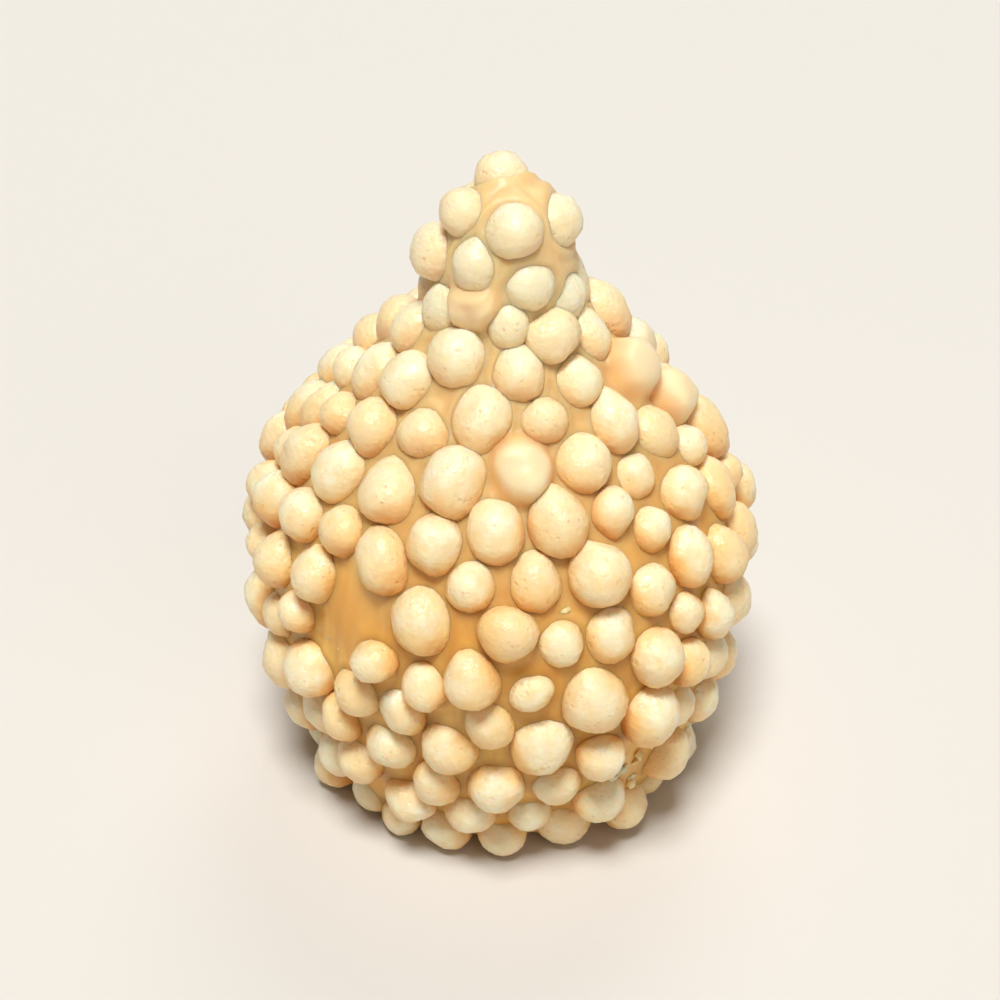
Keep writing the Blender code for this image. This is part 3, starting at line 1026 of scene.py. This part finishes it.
class MODAK_OT_crumbs(bpy.types.Operator):
    """Strew crumbs and shards of broken pearls over the paste, in the gaps between the pearls."""

    bl_idname = "modak.crumbs"
    bl_label = "Make Crumbs"

    def execute(self, context):
        scene = context.scene
        body, pearls, matrices, shift = laid_out(scene)
        centres = np.array([matrix.translation for matrix in matrices])
        reach = np.array([matrix.to_scale()[1] for matrix in matrices])
        draw = np.random.RandomState(pearls["seed"] + CRUMB_SEED)
        heights, shares = area_below(body)
        angle = draw.uniform(0, math.tau, CRUMB_TRIES)
        height = np.interp(draw.uniform(*CRUMB_LEVELS, CRUMB_TRIES), shares, heights)
        batches = [(angle, height, CRUMB_ROOM, CRUMBS, CRUMB_SIZE)]
        for direction, level in SHARD_HEAPS:
            spread = HEAP_WIDTH / dome_radius(body, level)
            angle = math.radians(direction) + draw.normal(0, spread, HEAP_TRIES)
            height = level + draw.normal(0, HEAP_WIDTH, HEAP_TRIES)
            batches.append((angle, height, SHARD_ROOM, SHARDS, SHARD_SIZE))
        turns, sizes, kinds, points = [], [], [], []
        for angle, height, room, count, size_range in batches:
            spots = surface(body, angle, height)
            gap = (np.linalg.norm(spots[:, None] - centres[None], axis=2) - reach[None]).min(axis=1)
            for number in np.flatnonzero(gap > room)[:count]:
                out = outward(body, angle[number], height[number])
                size = draw.uniform(*size_range)
                lift = out * draw.uniform(*CRUMB_LIFT) * size
                points.append(Vector(spots[number]) + shift + lift)
                turn = Matrix.Rotation(draw.uniform(*ANY_TURN), 3, "Z")
                turn = out.to_track_quat("Z", "Y").to_matrix() @ turn
                tip = Matrix.Rotation(draw.uniform(-CRUMB_TIP, CRUMB_TIP), 3, "X")
                turns.append((turn @ tip).to_euler())
                width, thickness = draw.uniform(*CRUMB_WIDTH), draw.uniform(*CRUMB_THICKNESS)
                sizes.append((size, size * width, size * thickness))
                kinds.append(draw.randint(CRUMB_SHAPES))
        ob = points_object("crumbs", points, turns, sizes, kinds, draw.uniform(0, 1, len(points)))
        shapes = bpy.data.collections.new("crumb_shapes")
        for number in range(CRUMB_SHAPES):
            shapes.objects.link(crumb_shape(f"crumb_{number}", draw))
        run_tree(ob, bpy.data.node_groups[PEARL_TREE], {
            "Shapes": shapes, "Dents": 0.0, "Dent scale": 1.0,
            "Finish": bpy.data.materials["pearls"]})
        remove_shapes(shapes)
        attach(ob, BODY)
        return {"FINISHED"}


class MODAK_OT_paste(bpy.types.Operator):
    """Make the pleated body of smooth paste, which climbs a little way up each pearl."""

    bl_idname = "modak.paste"
    bl_label = "Make Paste"

    def execute(self, context):
        scene = context.scene
        body, _, _, shift = laid_out(scene)
        ob = profile_object("paste", body)
        covered = bpy.data.objects[COVERED_NAME]
        run_tree(ob, paste_tree(), {
            "Height": body["height"], "Steps": PASTE_STEPS, "Pleats": float(body["pleats"]),
            "Pleat depth": body["pleat_depth"], "Lump depth": body["lump_depth"],
            "Streak depth": body["streak_depth"], "Lean": (body["lean_x"], body["lean_y"], 0.0),
            "Shift": shift, "Pearls": bpy.data.objects["pearls"], "Covered": covered,
            "Climb": body["climb"], "Reach": body["climb_reach"], "Film": body["film"],
            "Finish": paste_material(scene.modak_colors)})
        bpy.data.objects.remove(covered)
        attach(ob, BODY)
        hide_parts(NODE)
        return {"FINISHED"}


class MODAK_OT_stage(bpy.types.Operator):
    """Set the plain floor, the soft lights and the camera."""

    bl_idname = "modak.stage"
    bl_label = "Make Stage"

    def execute(self, context):
        scene = context.scene
        colors = scene.modak_colors
        low, high = -FLOOR_HALF, FLOOR_HALF
        corners = [(low, low, 0), (high, low, 0), (high, high, 0), (low, high, 0)]
        floor = mesh_object("floor", corners, [(0, 1, 2, 3)])
        material, nodes, shader, _ = new_material("floor", colors.floor)
        nodes.fill(shader, {"Base Color": (*colors.floor, 1), "Roughness": 0.8})
        floor.data.materials.append(material)
        scene.collection.objects.link(floor)
        world = bpy.data.worlds.new("soft_sky")
        world.use_nodes = True
        sky = world.node_tree.nodes["Background"]
        Nodes(world.node_tree).fill(sky, {"Color": (*SKY_COLOR, 1), "Strength": SKY_STRENGTH})
        scene.world = world
        for name, strength, angle, azimuth, elevation, tint in LIGHTS:
            light = bpy.data.lights.new(name, "SUN")
            light.energy = strength
            light.angle = math.radians(angle)
            light.color = tint
            aimed(light, azimuth, elevation, LIGHT_DISTANCE)
        camera = bpy.data.cameras.new("camera")
        camera.lens = CAMERA_LENS
        camera.clip_start, camera.clip_end = CAMERA_CLIP
        scene.camera = aimed(camera, 0, CAMERA_ELEVATION, CAMERA_DISTANCE)
        scene.view_settings.view_transform = "Standard"
        scene.view_settings.look = "None"
        return {"FINISHED"}


def aimed(data, azimuth, elevation, distance):
    """A light or camera in the scene, that far from the modak and facing it. Azimuth 0 is in
    front."""
    turn, rise = math.radians(azimuth), math.radians(elevation)
    level = math.cos(rise)
    back = Vector((math.sin(turn) * level, -math.cos(turn) * level, math.sin(rise)))
    ob = bpy.data.objects.new(data.name, data)
    ob.location = Vector((0, 0, TARGET_HEIGHT)) + back * distance
    ob.rotation_euler = (-back).to_track_quat("-Z", "Y").to_euler()
    bpy.context.scene.collection.objects.link(ob)
    return ob


class MODAK_PT_panel(bpy.types.Panel):
    """Lists the sizes, the colours and the steps."""

    bl_idname = "MODAK_PT_panel"
    bl_label = "Cashew Modak"
    bl_space_type = "VIEW_3D"
    bl_region_type = "UI"
    bl_category = "Modak"

    def draw(self, context):
        layout = self.layout
        for name in GROUPS:
            group = getattr(context.scene, name)
            box = layout.box()
            for key in group.bl_rna.properties.keys():
                if key not in ("rna_type", "name"):
                    box.prop(group, key)
        for step in STEPS:
            layout.operator(step.bl_idname)


GROUPS = {"modak_body": ModakBody, "modak_pearls": ModakPearls, "modak_colors": ModakColors}
STEPS = (MODAK_OT_pearls, MODAK_OT_paste, MODAK_OT_crumbs, MODAK_OT_stage)
CLASSES = (*GROUPS.values(), *STEPS, MODAK_PT_panel)


def register():
    """Adds the classes, and the property groups to every scene."""
    for kind in CLASSES:
        bpy.utils.register_class(kind)
    for name, kind in GROUPS.items():
        setattr(bpy.types.Scene, name, bpy.props.PointerProperty(type=kind))


def unregister():
    """Takes away what register adds, last things first."""
    for name in reversed(GROUPS):
        delattr(bpy.types.Scene, name)
    for kind in reversed(CLASSES):
        bpy.utils.unregister_class(kind)


def main():
    """Makes every piece and the stage."""
    register()
    bpy.ops.modak.pearls()
    bpy.ops.modak.paste()
    bpy.ops.modak.crumbs()
    bpy.ops.modak.stage()


if __name__ == "__main__":
    main()
